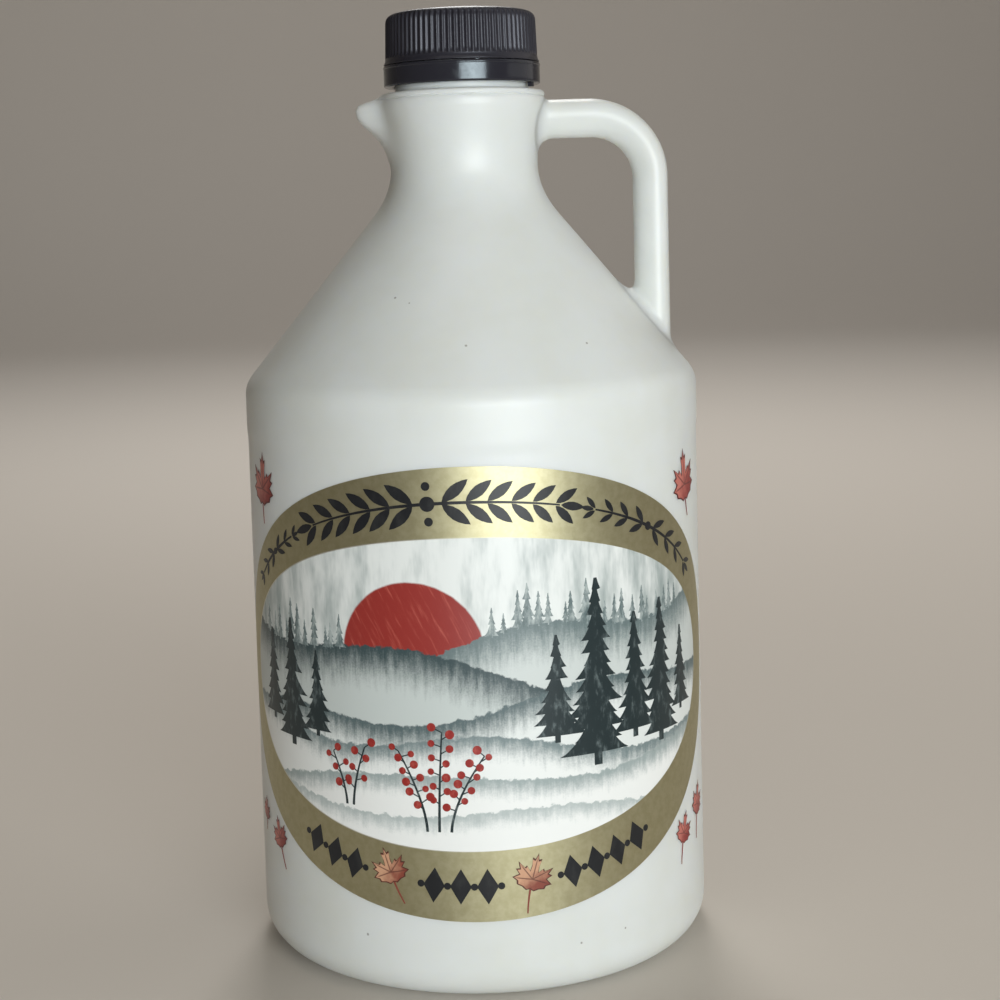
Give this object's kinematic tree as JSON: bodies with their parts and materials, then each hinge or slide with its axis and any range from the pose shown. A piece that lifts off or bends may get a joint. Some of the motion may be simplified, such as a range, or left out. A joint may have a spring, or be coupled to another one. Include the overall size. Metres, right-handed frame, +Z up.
{
  "type": "plastic syrup jug with screw cap",
  "caption": "Round off-white plastic jug with a sloped shoulder, ring handle, small pouring lug, ribbed black screw cap with tamper ring, and a wrap-round oval label.",
  "frame": {"origin": "centre of the flat standing ring, at the height of the surface the jug stands on", "axes": "+Z up through the cap, +X towards the handle, -Y towards the front, where the label faces"},
  "size_m": [0.1214, 0.1217, 0.2482],
  "materials": {
    "jug_plastic": "off-white blow-moulded plastic with a soft satin sheen",
    "cap_plastic": "black moulded plastic with fine upright ribs",
    "ring_plastic": "smooth glossy black moulded plastic",
    "label_print": "printed film with a satin metallic gold band round a winter picture"
  },
  "bodies": {
    "root": {"jug": "jug_plastic", "screw_cap": "cap_plastic", "tamper_ring": "ring_plastic", "label": "label_print"}
  },
  "joints": []
}
